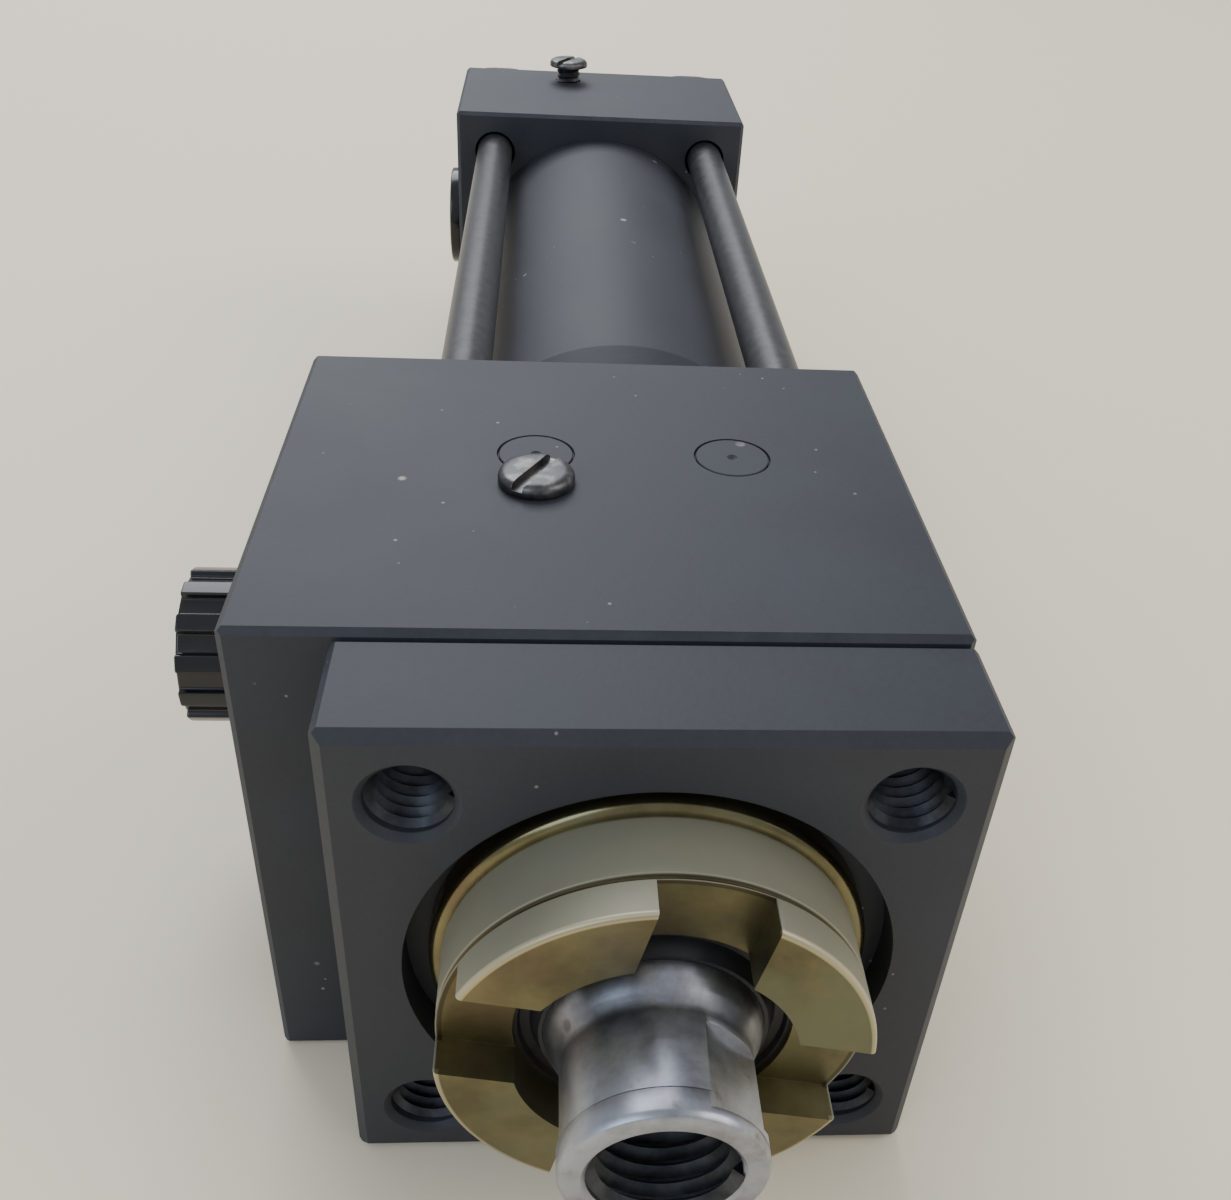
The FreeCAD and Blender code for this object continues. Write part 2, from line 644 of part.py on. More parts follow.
for number, (tie_x, tie_z) in enumerate(tie_places, start=1):
    keep("tie_rod_%d" % number, tie_rod(tie_x, tie_z))
keep("tie_rod_nuts", *[tie_nut(x, z) for x, z in tie_places])
keep("tie_rod_washers", *[tie_washer(x, z) for x, z in tie_places])
keep("rear_cap", rear_cap())
keep("front_port_plug", to_port(ribbed_knob(), port_face, front_port_y))
keep("front_port_washer", port_washer(port_face, front_port_y, knob_dia))
keep("rear_port_plug", to_port(low_plug(), -half, rear_port_y()))
keep("rear_port_washer", port_washer(-half, rear_port_y(), plug_flange))
for end, x, y, face, lift in (("front", *front_needle, head_top, needle_lift),
                              ("rear", rear_needle[0], rear_needle_y, half, rear_needle_lift)):
    keep(end + "_needle", stand(needle(), x, y, face + lift))
    keep(end + "_needle_o_ring", stand(needle_ring(), x, y, face + lift))
keep("drilling_plug", stand(closing_plug(), *drilling_plug, head_top))
keep("front_check_plug", stand(check_plug(head_top), check_x, check_y, head_top))
keep("front_check_ball", stand(check_ball(), check_x, check_y, check_seat_z))
keep("rear_check_plug", to_side(check_plug(half), half, rear_check_y))
keep("rear_check_ball", to_side(check_ball(), check_seat_z, rear_check_y))

os.makedirs("parts", exist_ok=True)
for name, solids in pieces.items():
    shape = solids[0] if len(solids) == 1 else Part.makeCompound(list(solids))
    shape.exportStep("parts/%s.step" % name)
    print(name, "solids", len(shape.Solids), "volume %.1f" % shape.Volume, "valid", shape.isValid())
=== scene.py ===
import math

import bpy
from mathutils import Matrix, Vector


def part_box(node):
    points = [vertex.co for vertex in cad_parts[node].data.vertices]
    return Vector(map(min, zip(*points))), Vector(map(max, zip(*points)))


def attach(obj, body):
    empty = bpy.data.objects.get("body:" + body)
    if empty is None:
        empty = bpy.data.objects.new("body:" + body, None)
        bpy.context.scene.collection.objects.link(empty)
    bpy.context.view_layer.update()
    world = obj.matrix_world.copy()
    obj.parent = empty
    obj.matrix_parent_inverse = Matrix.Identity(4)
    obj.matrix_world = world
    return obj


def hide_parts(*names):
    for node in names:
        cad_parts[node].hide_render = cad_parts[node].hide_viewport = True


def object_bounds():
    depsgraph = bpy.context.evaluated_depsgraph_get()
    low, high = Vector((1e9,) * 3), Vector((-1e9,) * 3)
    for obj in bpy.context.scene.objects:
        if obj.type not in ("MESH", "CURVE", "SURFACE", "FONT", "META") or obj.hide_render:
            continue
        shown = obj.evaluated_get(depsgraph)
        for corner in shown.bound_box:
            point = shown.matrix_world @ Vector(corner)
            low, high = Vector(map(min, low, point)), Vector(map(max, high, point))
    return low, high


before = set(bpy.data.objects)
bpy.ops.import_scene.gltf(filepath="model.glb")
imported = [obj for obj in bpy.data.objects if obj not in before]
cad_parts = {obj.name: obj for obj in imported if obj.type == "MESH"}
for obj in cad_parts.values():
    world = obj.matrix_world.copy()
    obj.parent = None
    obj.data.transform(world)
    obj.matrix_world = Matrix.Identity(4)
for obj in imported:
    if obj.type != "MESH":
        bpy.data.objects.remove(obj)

cad_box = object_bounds()
MM = 0.001                # outlines and places below are in millimetres, times this


# ---- Bench, light and camera ----------------------------------------------------------------
# The cylinder lies on a plain pale bench top, lit by a wide soft window light from behind on the left
# and a weaker one from the right. The camera stands in front of the rod end and looks down on it.

bpy.ops.object.select_all(action="DESELECT")
bpy.ops.mesh.primitive_plane_add(size=8, location=(0, 2.5, cad_box[0].z))
bench = bpy.context.object
bench.name = "bench_top"
bench_paint = bpy.data.materials.new("bench_paint")
bench_paint.use_nodes = True
bench_paint.node_tree.nodes["Principled BSDF"].inputs["Base Color"].default_value = (0.98, 0.87, 0.66, 1)
bench_paint.node_tree.nodes["Principled BSDF"].inputs["Roughness"].default_value = 0.55
bench.data.materials.append(bench_paint)


def soft_light(name, place, aim, size, power, colour):
    """A square soft light that points at a place on the cylinder."""
    bpy.ops.object.light_add(type="AREA", location=place)
    lamp = bpy.context.object
    lamp.name = name
    lamp.rotation_euler = (Vector(aim) - Vector(place)).to_track_quat("-Z", "Y").to_euler()
    lamp.data.size = size
    lamp.data.energy = power
    lamp.data.color = colour


soft_light("window_light", (-0.20, 0.80, 0.75), (0, 0.05, 0), 0.7, 8.4, (0.92, 0.95, 1.0))
soft_light("front_left_light", (-0.55, -0.45, 0.55), (0, 0.0, 0), 0.5, 2.2, (0.68, 0.82, 1.0))
soft_light("right_light", (0.8, -0.1, 0.6), (0, 0.05, 0), 0.6, 3.4, (1.0, 0.95, 0.88))

room = bpy.data.worlds.new("pale_room")
room.use_nodes = True
room.node_tree.nodes["Background"].inputs["Color"].default_value = (0.86, 0.9, 0.96, 1)
room.node_tree.nodes["Background"].inputs["Strength"].default_value = 0.6
bpy.context.scene.world = room

camera_place = Vector((-0.008086, -0.058749, 0.074788))
camera_down = 0.616       # angles in radians
camera_right = 0.090
camera_roll = 0.066
bpy.ops.object.camera_add(location=camera_place)
camera = bpy.context.object
aim = Matrix.Rotation(-camera_right, 4, "Z") @ Matrix.Rotation(math.pi / 2 - camera_down, 4, "X")
aim = aim @ Matrix.Rotation(camera_roll, 4, "Z")
camera.rotation_euler = aim.to_euler()
camera.data.sensor_width = 36.0
camera.data.lens = 36.77
camera.data.shift_x = -0.0162
camera.data.clip_start = 0.005
camera.data.clip_end = 20.0
bpy.context.scene.camera = camera


# ---- Front plate, head block and rear cap ---------------------------------------------------
# Steel blocks, sawn and milled, drilled and tapped, then stove painted satin black as one. The paint
# is thin at the edges and chips there. The gland nut clamps the plate, the tie rods hold the rest.

class Wire:
    """One output in a material. Sums on it add Math nodes, and node() adds any other node."""

    def __init__(self, tree, output=None):
        self.tree = tree
        self.output = output

    def node(self, kind, settings=None, sockets=None, output=0):
        made = self.tree.nodes.new(kind)
        for name, value in (settings or {}).items():
            setattr(made, name, value)
        for key, value in (sockets or {}).items():
            if isinstance(value, Wire):
                self.tree.links.new(value.output, made.inputs[key])
            else:
                made.inputs[key].default_value = value
        return Wire(self.tree, made.outputs[output] if made.outputs else None)

    def math(self, operation, first, second=0.0, clamp=False):
        return self.node("ShaderNodeMath", {"operation": operation, "use_clamp": clamp},
                         {0: first, 1: second})

    def __add__(self, other):
        return self.math("ADD", self, other)

    def __radd__(self, other):
        return self.math("ADD", other, self)

    def __sub__(self, other):
        return self.math("SUBTRACT", self, other)

    def __rsub__(self, other):
        return self.math("SUBTRACT", other, self)

    def __mul__(self, other):
        return self.math("MULTIPLY", self, other)

    def __rmul__(self, other):
        return self.math("MULTIPLY", other, self)

    def __abs__(self):
        return self.math("ABSOLUTE", self)

    def above(self, start, width):
        """0 below start, 1 past start + width, and a ramp between."""
        return self.math("DIVIDE", self - start, width, clamp=True)

    def most(self, other):
        return self.math("MAXIMUM", self, other)


def start_material(name):
    """A new empty material and its Object coordinates."""
    material = bpy.data.materials.new(name)
    material.use_nodes = True
    material.node_tree.nodes.clear()
    blank = Wire(material.node_tree)
    return material, blank.node("ShaderNodeTexCoord", output="Object")


def cloud(place, scale, detail=3.0, rough=0.55):
    """Noise between 0 and 1; scale counts its blotches per metre."""
    return place.node("ShaderNodeTexNoise", {}, {"Vector": place, "Scale": scale, "Detail": detail,
                                                 "Roughness": rough}, "Fac")


def specks(place, scale, size):
    """1 in small round specks scattered over the surface, and 0 between them."""
    gap = place.node("ShaderNodeTexVoronoi", {"feature": "F1"}, {"Vector": place, "Scale": scale},
                     "Distance")
    return 1.0 - gap.above(size, size * 0.6)


def blend_colour(mask, low, high):
    """One colour where the mask is 0 and another where it is 1."""
    return mask.node("ShaderNodeMix", {"data_type": "RGBA"},
                     {0: mask, 6: low if isinstance(low, Wire) else (*low, 1),
                      7: high if isinstance(high, Wire) else (*high, 1)}, 2)


def relief(height, depth):
    """A bumped normal from a height of 0 to 1 that stands for this depth in metres."""
    return height.node("ShaderNodeBump", {}, {"Height": height, "Strength": 1.0, "Distance": depth})


def end_material(wire, **sockets):
    """The surface shader: names with an underscore stand for sockets with a space."""
    named = {name.replace("_", " "): value for name, value in sockets.items()}
    shader = wire.node("ShaderNodeBsdfPrincipled", {}, named)
    wire.node("ShaderNodeOutputMaterial", {}, {"Surface": shader})


def along_axes(place):
    """The three coordinates of a place."""
    return [place.node("ShaderNodeSeparateXYZ", {}, {0: place}, axis) for axis in "XYZ"]


def block_edges(place, low, high, width):
    """1 on the edges of a block, falling to 0 this far from them."""
    near = []
    for value, start, end in zip(along_axes(place), low, high):
        inside = (end - start) / 2 - abs(value - (start + end) / 2)
        near.append(1.0 - inside.above(0.0, width))
    pairs = (near[0] * near[1]).most(near[1] * near[2])
    return pairs.most(near[0] * near[2])


paint_black = (0.025, 0.027, 0.034)
paint_grey = (0.040, 0.043, 0.054)
chip_metal = (0.42, 0.41, 0.38)


def black_paint(name, low, high, edge_wear):
    """Satin black paint on a block, with fine grain, small chips, worn edges, and a paler bluish band along
    the edges that is partly scuffed paint and partly a painted highlight.
    """
    material, place = start_material(name)
    tone = cloud(place, 70.0, 4.0)
    grain = cloud(place, 2600.0, 2.0)
    colour = blend_colour((tone * 0.7 + grain * 0.3).above(0.3, 0.45), paint_black, paint_grey)
    edges = block_edges(place, low, high, 0.0011)
    ragged = cloud(place, 900.0, 5.0, 0.7)
    worn = (edges * ragged).above(1.0 - edge_wear * 0.75, 0.08)
    # A paler bluish band along the edges: partly scuffed paint, partly a painted highlight on the chamfers.
    scuff_and_edge_highlight = (edges * cloud(place, 260.0, 4.0)).above(0.25, 0.5) * 0.35
    chips = specks(place, 170.0, 0.055) * cloud(place, 45.0, 1.0).above(0.55, 0.06)
    chips = chips.most(specks(place, 420.0, 0.045) * cloud(place, 90.0, 1.0).above(0.56, 0.04) * 0.6)
    colour = blend_colour(scuff_and_edge_highlight, colour, (0.12, 0.135, 0.165))
    bare = worn.most(chips * 0.8)
    colour = blend_colour(bare, colour, chip_metal)
    orange_peel = cloud(place, 1500.0, 2.0)
    normal = relief(orange_peel * 0.75 + grain * 0.25 - bare * 0.8, 0.00002)
    end_material(place, Base_Color=colour, Roughness=0.46 + tone * 0.14 + grain * 0.06, Metallic=bare * 0.7,
                 Normal=normal, Specular_IOR_Level=0.36)
    return material


def soft_edges(piece, width, limit=0.5):
    """Round every hard edge a little, then shade the piece smooth with its flats kept flat."""
    bpy.ops.object.select_all(action="DESELECT")
    bpy.context.view_layer.objects.active = piece
    piece.select_set(True)
    rounding = piece.modifiers.new("rounding", "BEVEL")
    rounding.width = width
    rounding.segments = 2
    rounding.limit_method = "ANGLE"
    rounding.angle_limit = limit
    rounding.use_clamp_overlap = True
    bpy.ops.object.modifier_apply(modifier=rounding.name)
    bpy.ops.object.shade_smooth_by_angle(angle=0.7)
    flats = piece.modifiers.new("flats", "WEIGHTED_NORMAL")
    flats.keep_sharp = True
    bpy.ops.object.modifier_apply(modifier=flats.name)


def copy_of(node, name):
    """A merged copy of a CAD node with its flats as single faces, ready to be worked on."""
    bpy.ops.object.select_all(action="DESELECT")
    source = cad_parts[node]
    piece = bpy.data.objects.new(name, source.data.copy())
    bpy.context.collection.objects.link(piece)
    piece.data.materials.clear()
    bpy.context.view_layer.objects.active = piece
    piece.select_set(True)
    bpy.ops.object.mode_set(mode="EDIT")
    bpy.ops.mesh.select_all(action="SELECT")
    bpy.ops.mesh.remove_doubles(threshold=0.000001)
    bpy.ops.mesh.dissolve_limited(angle_limit=0.01)
    bpy.ops.object.mode_set(mode="OBJECT")
    return piece


def place_piece(piece, body, slot, material, *nodes):
    """Give a finished piece its finish, the body that it rides on and the nodes it stands for."""
    piece.data.materials.clear()
    piece.data.materials.append(material)
    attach(piece, body)
    if nodes:
        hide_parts(*nodes)


for node, wear in (("front_plate", 0.45), ("head_block", 0.75), ("rear_cap", 0.5)):
    low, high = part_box(node)
    painted = copy_of(node, node + "_painted")
    soft_edges(painted, 0.12 * MM)
    place_piece(painted, "cylinder", "black_paint", black_paint(node + "_paint", low, high, wear), node)


# ---- Gland nut, its seals and its bush ------------------------------------------------------
# The gland nut is turned steel with four slots for a pin spanner, yellow zinc plated, and screws into
# the head through the plate. It carries the wiper, the rod seal, a bronze bush and its own O-ring.

def drawn(name, points):
    """A new piece that is only a line from point to point, left open in edit mode."""
    bpy.ops.object.select_all(action="DESELECT")
    bpy.ops.mesh.primitive_plane_add(size=MM)
    bpy.context.object.name = name
    bpy.ops.object.mode_set(mode="EDIT")
    bpy.ops.mesh.select_all(action="SELECT")
    bpy.ops.mesh.merge(type="CENTER")
    spots = [Vector(point) * MM for point in points]
    bpy.ops.transform.translate(value=spots[0])
    for start, end in zip(spots, spots[1:]):
        bpy.ops.mesh.extrude_region_move(TRANSFORM_OT_translate={"value": end - start})
    bpy.ops.mesh.select_all(action="SELECT")
    return bpy.context.object


def on_axis(axis, along, radius, centre=(0, 0)):
    """The point at this radius from an axis, whose centre is given by the other two coordinates."""
    return {"X": (along, centre[0] + radius, centre[1]), "Y": (centre[0] + radius, along, centre[1]),
            "Z": (centre[0] + radius, centre[1], along)}[axis]


def turned(name, outline, axis="Y", centre=(0, 0), sides=128):
    """A piece turned on a lathe from an outline of (along, radius) points in millimetres."""
    piece = drawn(name, [on_axis(axis, along, radius, centre) for along, radius in outline])
    middle = Vector(on_axis(axis, 0, 0, centre)) * MM
    direction = [float(letter == axis) for letter in "XYZ"]
    bpy.ops.mesh.spin(steps=sides, angle=2 * math.pi, center=middle, axis=direction)
    bpy.ops.mesh.select_all(action="SELECT")
    bpy.ops.mesh.remove_doubles(threshold=0.000001)
    bpy.ops.mesh.normals_make_consistent(inside=False)
    bpy.ops.object.mode_set(mode="OBJECT")
    return piece


def cut(piece, cutter):
    """Take the shape of the cutter out of the piece, and throw the cutter away."""
    bpy.ops.object.select_all(action="DESELECT")
    bpy.context.view_layer.objects.active = piece
    piece.select_set(True)
    saw = piece.modifiers.new("cut", "BOOLEAN")
    saw.operation = "DIFFERENCE"
    saw.solver = "EXACT"
    saw.object = cutter
    bpy.ops.object.modifier_apply(modifier=saw.name)
    bpy.data.objects.remove(cutter)


def cutting_bar(middle, size, turn=(0, 0, 0)):
    """A block to cut with, in millimetres."""
    bpy.ops.object.select_all(action="DESELECT")
    bpy.ops.mesh.primitive_cube_add(size=1, location=Vector(middle) * MM, rotation=turn,
                                    scale=Vector(size) * MM)
    return bpy.context.object


def lathe_rings(place, scale):
    """Noise that runs in fine rings round the rod axis."""
    x, y, z = along_axes(place)
    squeezed = place.node("ShaderNodeCombineXYZ", {}, {0: x * 0.03, 1: y, 2: z * 0.03})
    return cloud(squeezed, scale, 3.0)


def even_finish(name, low, high, rough, metallic=0.0, scale=500.0, depth=0.000004):
    """A finish of two close shades in a fine grain."""
    material, place = start_material(name)
    grain = cloud(place, scale, 4.0)
    end_material(place, Base_Color=blend_colour(grain.above(0.35, 0.3), low, high),
                 Roughness=grain * 0.12 + rough, Metallic=metallic, Normal=relief(grain, depth))
    return material


def finish_nodes(material, *nodes):
    """Give one finish to pieces that keep the shape of their solids."""
    for node in nodes:
        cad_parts[node].data.materials.clear()
        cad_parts[node].data.materials.append(material)


nut_radius = 15.1
nut_front = -7.8
nut_rounding = 0.35
slot_floor = -4.9
slot_depth = 4.1
first_slot = 77.4         # degrees round from +X
groove_depth = 0.28
collar_radius = 16.05
collar_rise = 0.95
outline = [(nut_front, 9.8), (nut_front, nut_radius - nut_rounding)]
for step in range(1, 5):
    bend = math.radians(22.5 * step)
    outline.append((nut_front + nut_rounding * (1 - math.cos(bend)),
                    nut_radius - nut_rounding * (1 - math.sin(bend))))
outline += [(slot_floor, nut_radius), (slot_floor + 0.15, nut_radius - groove_depth),
            (slot_floor + 0.45, nut_radius - groove_depth), (slot_floor + 0.6, nut_radius), (0.6, nut_radius)]
for step in range(0, 9):
    bend = math.radians(11.25 * step)
    outline.append((0.6 + collar_rise * (1 - math.cos(bend)), nut_radius + 0.02 + 0.93 * math.sin(bend)))
outline += [(3.0, collar_radius), (3.0, 14.0), (23.7, 14.0), (23.7, 12.5), (25.96, 12.5), (25.96, 10.9),
            (28.04, 10.9), (28.04, 12.5), (29.8, 12.5), (29.8, 8.2), (24.1, 8.2), (24.1, 9.3), (11.1, 9.3),
            (11.1, 10.5), (6.1, 10.5), (6.1, 8.2), (-0.9, 8.2), (-0.9, 9.8), (nut_front, 9.8)]
gland = turned("gland_nut_turned", outline, sides=160)
for number in range(4):
    turn = math.radians(first_slot + 90 * number)
    cut(gland, cutting_bar((8.5 * math.cos(turn), slot_floor - slot_depth / 2, 8.5 * math.sin(turn)),
                           (17, slot_depth, 8), (0, -turn, 0)))
soft_edges(gland, 0.09 * MM)

zinc, place = start_material("yellow_zinc")
stain = cloud(place, 130.0, 5.0, 0.6)
tint = cloud(place, 60.0, 3.0)
rings = lathe_rings(place, 5000.0)
smudge = cloud(place, 700.0, 4.0)
gold_or_olive = blend_colour(stain.above(0.36, 0.24), (0.125, 0.112, 0.058), (0.225, 0.190, 0.092))
with_green = blend_colour(tint.above(0.50, 0.12) * 0.6, gold_or_olive, (0.15, 0.17, 0.115))
with_rose = blend_colour((1.0 - tint).above(0.56, 0.1) * 0.4, with_green, (0.20, 0.125, 0.080))
x, along, z = along_axes(place)
from_axis = place.math("SQRT", x * x + z * z)
# The outer wall is made matte and painted a paler grey-olive: partly its duller finish, partly painted light
# where the wall faces up into the light.
matte_wall_painted_lit = from_axis.above(0.01492, 0.0001) * (1.0 - along.above(0.0004, 0.0002))
zinc_with_painted_light = blend_colour(matte_wall_painted_lit * 0.8, with_rose, (0.34, 0.33, 0.25))
# The ring groove is painted near black: painted shade in the groove.
groove_painted_shade = from_axis.above(0.0146, 0.0001) * (1.0 - from_axis.above(0.01495, 0.0001))
groove_painted_shade = groove_painted_shade * along.above(-0.0052, 0.0001) * (1.0 - along.above(-0.0041, 0.0001))
zinc_with_painted_light = blend_colour(groove_painted_shade * 0.8, zinc_with_painted_light, (0.07, 0.06, 0.035))
# The rounded front rim of the teeth is painted a bright pale gold: a painted highlight on the rim, which is
# also made glossier below.
rim_painted_highlight = from_axis.above(0.01465, 0.0001) * (1.0 - along.above(-0.00745, 0.0001))
zinc_with_painted_light = blend_colour(rim_painted_highlight * 0.6, zinc_with_painted_light, (0.60, 0.53, 0.34))
polished = along.above(0.0006, 0.0002).most(rim_painted_highlight * 0.6)
end_material(place, Base_Color=zinc_with_painted_light, Metallic=0.9 - matte_wall_painted_lit * 0.55,
             Roughness=0.36 + smudge * 0.12 + matte_wall_painted_lit * 0.1 - polished * 0.20,
             Normal=relief(rings * 0.5 + smudge * 0.5, 0.000006))
place_piece(gland, "cylinder", "yellow_zinc", zinc, "gland_nut")

rubber = even_finish("black_rubber", (0.010, 0.010, 0.011), (0.018, 0.018, 0.019), 0.55)
finish_nodes(rubber, "gland_o_ring", "front_barrel_gasket", "rear_barrel_gasket", "front_needle_o_ring",
             "rear_needle_o_ring", "front_port_washer", "rear_port_washer")
finish_nodes(even_finish("bush_bronze", (0.33, 0.20, 0.09), (0.45, 0.29, 0.14), 0.3, 1.0), "gland_bush")
finish_nodes(even_finish("seal_polymer", (0.010, 0.010, 0.012), (0.016, 0.016, 0.018), 0.42), "wiper",
             "rod_seal", "piston_seal")


# ---- Screw threads --------------------------------------------------------------------------
# The four mounting holes are tapped M6 right through the plate, and the tie rods and needles carry
# threads of their own. Each thread is a right-hand ridge that winds round its hole or shank.

def thread_ridge(name, root, crest, pitch, start, turns, axis="Y", centre=(0, 0)):
    """A right-hand ridge from root radius to crest radius, in millimetres."""
    half = pitch * 0.44
    corners = [(start - half, root), (start, crest), (start + half, root), (start - half, root)]
    piece = drawn(name, [on_axis(axis, along, radius) for along, radius in corners])
    bpy.ops.mesh.remove_doubles(threshold=0.000001)
    bpy.ops.object.mode_set(mode="OBJECT")
    winding = piece.modifiers.new("winding", "SCREW")
    winding.axis = axis
    winding.screw_offset = pitch * MM
    winding.iterations = turns
    winding.steps = 40
    winding.render_steps = 40
    bpy.ops.object.modifier_apply(modifier=winding.name)
    bpy.ops.object.mode_set(mode="EDIT")
    bpy.ops.mesh.select_all(action="SELECT")
    bpy.ops.mesh.fill_holes(sides=3)
    bpy.ops.mesh.select_all(action="SELECT")
    bpy.ops.mesh.normals_make_consistent(inside=False)
    bpy.ops.transform.translate(value=Vector(on_axis(axis, 0, 0, centre)) * MM)
    bpy.ops.object.mode_set(mode="OBJECT")
    bpy.ops.object.shade_smooth_by_angle(angle=0.7)
    return piece


bolt_half = 16.6          # half the side of the square that the holes and the tie rods stand on
bolt_places = [(x, z) for x in (-bolt_half, bolt_half) for z in (-bolt_half, bolt_half)]
tapped = even_finish("tapped_steel", (0.025, 0.027, 0.032), (0.07, 0.074, 0.085), 0.32, 0.8)
for number, bolt_place in enumerate(bolt_places, start=1):
    ridge = thread_ridge("mounting_thread_%d" % number, 3.03, 2.5, 1.0, 1.1, 14, centre=bolt_place)
    place_piece(ridge, "cylinder", "black_paint", tapped)


# ---- Piston rod and what turns with it ------------------------------------------------------
# The rod is ground and hard chromed bar. Its end is turned down to a neck with two wrench flats and
# tapped M10. The piston, the cushion sleeve and the cushion spear are fitted on its far end.

outline = [(1.0, 0.0), (-2.0, 5.0), (-15.7, 5.0), (-16.0, 5.3), (-16.0, 6.35), (-15.87, 6.62),
           (-15.6, 6.78), (-15.4, 6.8), (-14.0, 6.8), (-13.8, 6.6), (-8.2, 6.6), (-7.6, 6.70), (-6.9, 7.02),
           (-6.2, 7.40), (-5.6, 7.62), (-5.0, 7.70), (112.25, 7.7), (112.25, 6.5), (130.25, 6.5),
           (130.25, 5.5), (148.25, 5.5), (148.25, 4.5), (157.25, 4.5), (157.25, 0.0)]
rod = turned("piston_rod_turned", outline, sides=144)
first_flat = 40.5         # degrees round from +X
for side in (0, 180):
    turn = math.radians(first_flat + side)
    cut(rod, cutting_bar((8 * math.cos(turn), -11.9, 8 * math.sin(turn)), (4, 6.2, 20), (0, -turn, 0)))
soft_edges(rod, 0.08 * MM)

rod_steel, place = start_material("rod_steel")
along = along_axes(place)[1]
stain = cloud(place, 240.0, 5.0, 0.65)
scratch = cloud(place, 900.0, 4.0)
rings = lathe_rings(place, 6000.0)
end_steel = blend_colour(stain.above(0.42, 0.25), (0.42, 0.44, 0.50), (0.26, 0.26, 0.285))
rust = specks(place, 420.0, 0.16) * stain.above(0.52, 0.1)
end_steel = blend_colour(rust * 0.7, end_steel, (0.10, 0.06, 0.045))
chrome = along.above(-0.0052, 0.0004)
colour = blend_colour(chrome, end_steel, (0.52, 0.52, 0.54))
end_material(place, Base_Color=colour, Metallic=1.0 - rust * 0.5,
             Roughness=0.30 + scratch * 0.14 - chrome * 0.16,
             Normal=relief(rings * (1.0 - chrome * 0.8), 0.000006))
place_piece(rod, "rod", "rod_steel", rod_steel, "piston_rod")
ridge = thread_ridge("rod_end_thread", 5.03, 4.35, 1.25, -15.35, 10)
place_piece(ridge, "rod", "rod_steel", tapped)

finish_nodes(even_finish("machined_steel", (0.33, 0.33, 0.34), (0.44, 0.44, 0.45), 0.26, 1.0), "piston",
             "front_cushion_sleeve", "rear_cushion_spear", "front_check_ball", "rear_check_ball")
finish_nodes(even_finish("guide_resin", (0.16, 0.07, 0.035), (0.24, 0.11, 0.06), 0.5), "piston_guide_ring")


# ---- Barrel ---------------------------------------------------------------------------------
# Honed steel tube, turned down at both ends to seat in the head and in the cap, and painted with the
# blocks once the cylinder is together.

outline = [(51.0, 16.0), (51.0, 17.5), (62.5, 17.5), (67.0, 19.0), (144.2, 19.0), (144.2, 17.5),
           (147.5, 17.5), (147.5, 16.0), (51.0, 16.0)]
tube = turned("barrel_turned", outline, sides=160)
soft_edges(tube, 0.15 * MM, 0.15)
no_edges = ((-1, -1, -1), (1, 1, 1))
place_piece(tube, "cylinder", "black_paint", black_paint("barrel_paint", *no_edges, 0.0), "barrel")


# ---- Tie rods, washers and nuts -------------------------------------------------------------
# Four steel rods with rolled threads screw into the head and pass through the cap, where a washer and
# a hexagon nut on each pull the barrel between the blocks.

rod_paint = even_finish("tie_rod_black", (0.030, 0.030, 0.032), (0.060, 0.059, 0.062), 0.34, 0.3, 900.0)
for number, tie_place in enumerate(bolt_places, start=1):
    outline = [(39.0, 0.0), (39.0, 3.0), (54.0, 3.0), (54.0, 2.7), (167.4, 2.7), (167.4, 2.6),
               (180.0, 2.6), (180.4, 2.2), (180.4, 0.0)]
    tie = turned("tie_rod_%d_turned" % number, outline, centre=tie_place, sides=48)
    soft_edges(tie, 0.05 * MM)
    place_piece(tie, "cylinder", "black_rods", rod_paint, "tie_rod_%d" % number)
    ridge = thread_ridge("tie_rod_thread_%d" % number, 2.56, 3.0, 1.0, 167.9, 12, centre=tie_place)
    place_piece(ridge, "cylinder", "black_rods", rod_paint)
for node in ("tie_rod_nuts", "tie_rod_washers"):
    stack = copy_of(node, node + "_made")
    soft_edges(stack, 0.12 * MM)
    place_piece(stack, "cylinder", "black_rods", rod_paint, node)


# ---- Port plugs -----------------------------------------------------------------------------
# The front port has a glossy moulded plug with ribs for the fingers, put in to keep dirt out on the way
# to its user. The rear port has a low moulded plug with a hexagon socket.

def join(first, *others):
    """Make several pieces one."""
    bpy.ops.object.select_all(action="DESELECT")
    for piece in (first, *others):
        piece.select_set(True)
    bpy.context.view_layer.objects.active = first
    bpy.ops.object.join()


rib_count = 12
rib_height = 0.68
knob_face = -31.0         # the knob's inner end
knob_length = 10
core = 6.7
pipe_pitch = 1.337        # G 1/4
front_port = (38.3, 0)
bpy.ops.object.select_all(action="DESELECT")
bpy.ops.mesh.primitive_cylinder_add(vertices=2 * rib_count, radius=core * MM, depth=knob_length * MM)
knob = bpy.context.object
knob.name = "ribbed_plug"
bpy.ops.object.mode_set(mode="EDIT")
bpy.ops.mesh.select_all(action="SELECT")
bpy.ops.transform.rotate(value=math.pi / 2, orient_axis="Y", center_override=(0, 0, 0))
bpy.ops.transform.translate(value=((knob_face - knob_length / 2) * MM, front_port[0] * MM, 0))
bpy.ops.mesh.select_mode(type="FACE")
bpy.ops.mesh.select_all(action="DESELECT")
bpy.ops.object.mode_set(mode="OBJECT")
walls = [face for face in knob.data.polygons if len(face.vertices) == 4]
walls.sort(key=lambda face: math.atan2(face.center.z, face.center.y - front_port[0] * MM))
for face in walls[::2]:
    face.select = True
bpy.ops.object.mode_set(mode="EDIT")
bpy.ops.mesh.extrude_region_shrink_fatten(TRANSFORM_OT_shrink_fatten={"value": rib_height * MM})
bpy.ops.mesh.select_mode(type="VERT")
bpy.ops.mesh.select_all(action="SELECT")
bpy.ops.mesh.normals_make_consistent(inside=False)
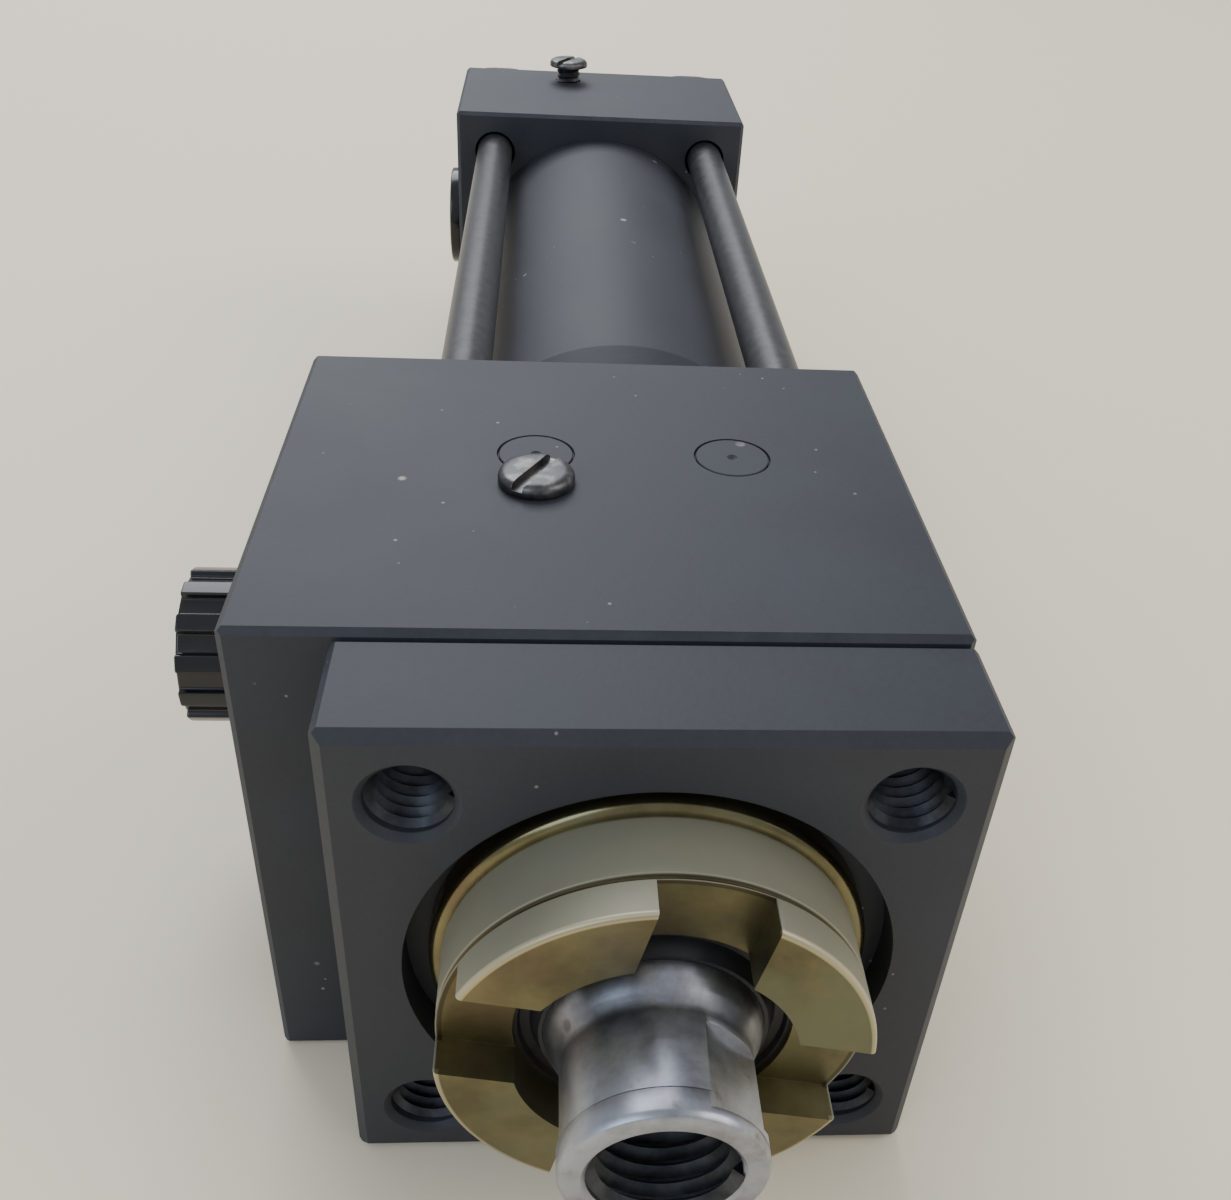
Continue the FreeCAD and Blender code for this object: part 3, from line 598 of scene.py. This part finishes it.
bpy.ops.object.mode_set(mode="OBJECT")
soft_edges(knob, 0.32 * MM)
outline = [(knob_face - 0.1, 0.0), (knob_face - 0.1, 6.3), (knob_face + 9.0, 6.3), (knob_face + 9.5, 5.8),
           (knob_face + 9.8, 4.6), (knob_face + 1.0, 4.6), (knob_face + 1.0, 0.0)]
stub = turned("ribbed_plug_stub", outline, "X", front_port, 64)
ridge = thread_ridge("ribbed_plug_thread", 6.27, 6.5, pipe_pitch, knob_face + 1.9, 5, "X", front_port)
join(knob, stub, ridge)
gloss = even_finish("glossy_plastic", (0.008, 0.008, 0.009), (0.012, 0.012, 0.013), 0.12, 0.0, 300.0,
                    0.000003)
place_piece(knob, "port_plug", "plug_plastic", gloss, "front_port_plug")

rear_port = (163.4, 0)
low_face = -23.3          # where its flange bears on the cap
flange = 1.6
socket_radius = 3.464     # over the corners, for a 6 mm key
outline = [(low_face - flange, 0.0), (low_face - flange, 7.6), (low_face - 1.48, 7.88), (low_face - 1.2, 8.0),
           (low_face, 8.0), (low_face, 6.3), (low_face + 7.3, 6.3), (low_face + 7.8, 5.8),
           (low_face + 7.8, 0.0)]
low_plug = turned("low_plug", outline, "X", rear_port, 96)
bpy.ops.object.select_all(action="DESELECT")
bpy.ops.mesh.primitive_cylinder_add(vertices=6, radius=socket_radius * MM, depth=10 * MM,
                                    location=((low_face - flange) * MM, rear_port[0] * MM, 0),
                                    rotation=(0, math.pi / 2, 0))
cut(low_plug, bpy.context.object)
soft_edges(low_plug, 0.08 * MM)
ridge = thread_ridge("low_plug_thread", 6.27, 6.5, pipe_pitch, low_face + 1.9, 4, "X", rear_port)
join(low_plug, ridge)
place_piece(low_plug, "cylinder", "plug_plastic", gloss, "rear_port_plug")


# ---- Cushion needles ------------------------------------------------------------------------
# Small pan head screws of dark oiled steel. Each closes a drilling with its point and so sets how fast
# the oil leaves at the end of the stroke. The front one is turned in, the rear one further out.

screw_steel, place = start_material("oiled_steel")
wipe = cloud(place, 500.0, 4.0)
rub = cloud(place, 1700.0, 3.0)
oiled = blend_colour(wipe.above(0.45, 0.2), (0.075, 0.075, 0.078), (0.22, 0.21, 0.20))
end_material(place, Base_Color=oiled, Metallic=0.9, Roughness=0.30 + rub * 0.15, Normal=relief(rub, 0.000008))
front_needle = (-8.75, 30.6)
rear_needle = (-5.0, 167.5)
needle_slot = 59.7        # degrees round from +X
for end, centre, seat in (("front", front_needle, 23.15), ("rear", rear_needle, 24.85)):
    outline = [(1.05, 0.0), (1.05, 2.3), (1.0, 2.62), (0.86, 2.9), (0.62, 3.08), (0.38, 3.15), (0.0, 3.15),
               (0.0, 1.7), (-6.2, 1.7), (-6.2, 1.35), (-7.0, 1.35), (-7.0, 1.98), (-9.95, 1.98),
               (-9.95, 1.35), (-11.1, 0.3), (-11.1, 0.0)]
    screw = turned(end + "_needle_turned", [(seat + up, radius) for up, radius in outline], "Z", centre, 72)
    cut(screw, cutting_bar((*centre, seat + 1.45), (8, 1.0, 2.0), (0, 0, math.radians(needle_slot))))
    soft_edges(screw, 0.06 * MM)
    ridge = thread_ridge(end + "_needle_thread", 1.68, 2.0, 0.8, seat - 6.0, 7, "Z", centre)
    join(screw, ridge)
    place_piece(screw, end + "_needle_screw", "blued_steel", screw_steel, end + "_needle")


# ---- Flush plugs ----------------------------------------------------------------------------
# Steel plugs pressed in flush and painted over, with the centre mark of the lathe. Two close the check
# valves, and the one behind the front needle closes the drilling that was made through from the top.

flush_paint = black_paint("flush_plug_paint", *no_edges, 0.0)
block_top = 23.0
rim = [(-0.3, 3.3), (-0.3, 3.12), (-0.06, 3.12), (0.0, 3.05), (0.0, 0.45), (-0.45, 0.0)]


def pressed_plug(name, below, axis, seat, centre):
    """A flush plug with its outline below the rim, seen from its face along the axis."""
    outline = [(seat + up, radius) for up, radius in below + rim]
    piece = turned(name, outline, axis, centre, 72)
    bpy.ops.object.shade_smooth_by_angle(angle=0.5)
    return piece


under_rim = [(-4.0, 1.5), (-4.0, 3.3)]
front_valve = pressed_plug("front_check_plug_turned", [(-7.5, 0.0), (-7.5, 1.5)] + under_rim, "Z",
                           block_top, (7.9, 35.4))
place_piece(front_valve, "cylinder", "black_paint", flush_paint, "front_check_plug")
rear_valve = pressed_plug("rear_check_plug_turned", [(-7.0, 0.0), (-7.0, 1.5)] + under_rim, "X", 22.5,
                          (160.0, 0))
place_piece(rear_valve, "cylinder", "black_paint", flush_paint, "rear_check_plug")
body = [(-4.0, 0.0), (-4.0, 2.3), (-1.0, 2.3), (-1.0, 3.3)]
drilling = pressed_plug("drilling_plug_turned", body, "Z", block_top, (-8.85, 35.3))
bpy.ops.object.select_all(action="DESELECT")
bpy.ops.mesh.primitive_cylinder_add(vertices=48, radius=2.3 * MM, depth=10 * MM,
                                    location=Vector((*front_needle, 20)) * MM)
cut(drilling, bpy.context.object)
place_piece(drilling, "cylinder", "black_paint", flush_paint, "drilling_plug")
